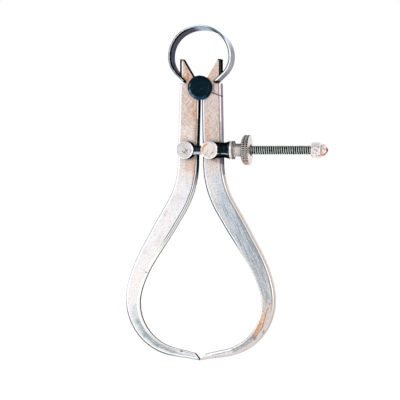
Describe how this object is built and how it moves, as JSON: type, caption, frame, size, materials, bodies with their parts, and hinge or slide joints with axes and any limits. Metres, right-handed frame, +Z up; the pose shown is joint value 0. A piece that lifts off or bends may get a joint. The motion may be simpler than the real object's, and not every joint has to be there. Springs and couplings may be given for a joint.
{
  "type": "outside spring caliper",
  "caption": "Outside spring caliper with bowed flat legs, a ring-shaped bow spring and a knurled nut on a side screw, shown closed.",
  "frame": {"origin": "the point inside the crown of the bow spring where the tool hangs on a peg", "axes": "+Z up along the closed tool, from the measuring tips to the bow; fronts of the legs and the screw's posts face -Y; the adjusting screw and its nut point to +X"},
  "size_m": [0.076, 0.0154, 0.1231],
  "materials": {
    "leg_steel": "satin, worn, with faint rust bloom",
    "spring_steel": "satin, tempered grey",
    "blued_steel": "oil blued, dark",
    "screw_steel": "dark, oiled",
    "post_steel": "bright face, darkened sides",
    "nickelled_steel": "bright nickel, a little worn"
  },
  "bodies": {
    "bow_assembly": {"bow_spring": "spring_steel", "fulcrum_stud": "blued_steel", "fulcrum_disc": "blued_steel"},
    "left_leg_body": {"left_leg": "leg_steel"},
    "right_leg_body": {"right_leg": "leg_steel"},
    "screw_assembly": {"left_post": "post_steel", "left_post_washer": "nickelled_steel", "adjusting_screw": "screw_steel", "screw_end_cap": "nickelled_steel"},
    "swivel_assembly": {"right_post": "post_steel", "right_post_washer": "nickelled_steel", "thrust_sleeve": "blued_steel", "thrust_washer": "nickelled_steel"},
    "nut_body": {"knurled_nut": "nickelled_steel"}
  },
  "joints": [
    {"name": "left_leg_swing", "type": "hinge", "parent": "bow_assembly", "child": "left_leg_body", "pos_m": [0, 0, -0.0222], "axis": [0, 1, 0], "range_deg": [0, 28.5], "deforming": ["bow_spring"]},
    {"name": "right_leg_swing", "type": "hinge", "parent": "bow_assembly", "child": "right_leg_body", "pos_m": [0, 0, -0.0222], "axis": [0, 1, 0], "range_deg": [-28.5, 0]},
    {"name": "left_post_swivel", "type": "hinge", "parent": "left_leg_body", "child": "screw_assembly", "pos_m": [-0.0046, 0, -0.04515], "axis": [0, 1, 0], "range_deg": [-28.5, 0]},
    {"name": "right_post_swivel", "type": "hinge", "parent": "right_leg_body", "child": "swivel_assembly", "pos_m": [0.0046, 0, -0.04515], "axis": [0, 1, 0], "range_deg": [0, 28.5]},
    {"name": "nut_turn", "type": "hinge", "parent": "swivel_assembly", "child": "nut_body", "pos_m": [0.01805, -0.00545, -0.04515], "axis": [1, 0, 0], "range_deg": [0, 9360]}
  ],
  "couplings": [
    {"joint": "right_leg_swing", "follows": "left_leg_swing", "ratio": -1},
    {"joint": "left_post_swivel", "follows": "left_leg_swing", "ratio": -1},
    {"joint": "right_post_swivel", "follows": "left_leg_swing", "ratio": 1},
    {"joint": "nut_turn", "follows": "left_leg_swing", "ratio": 328.42}
  ]
}
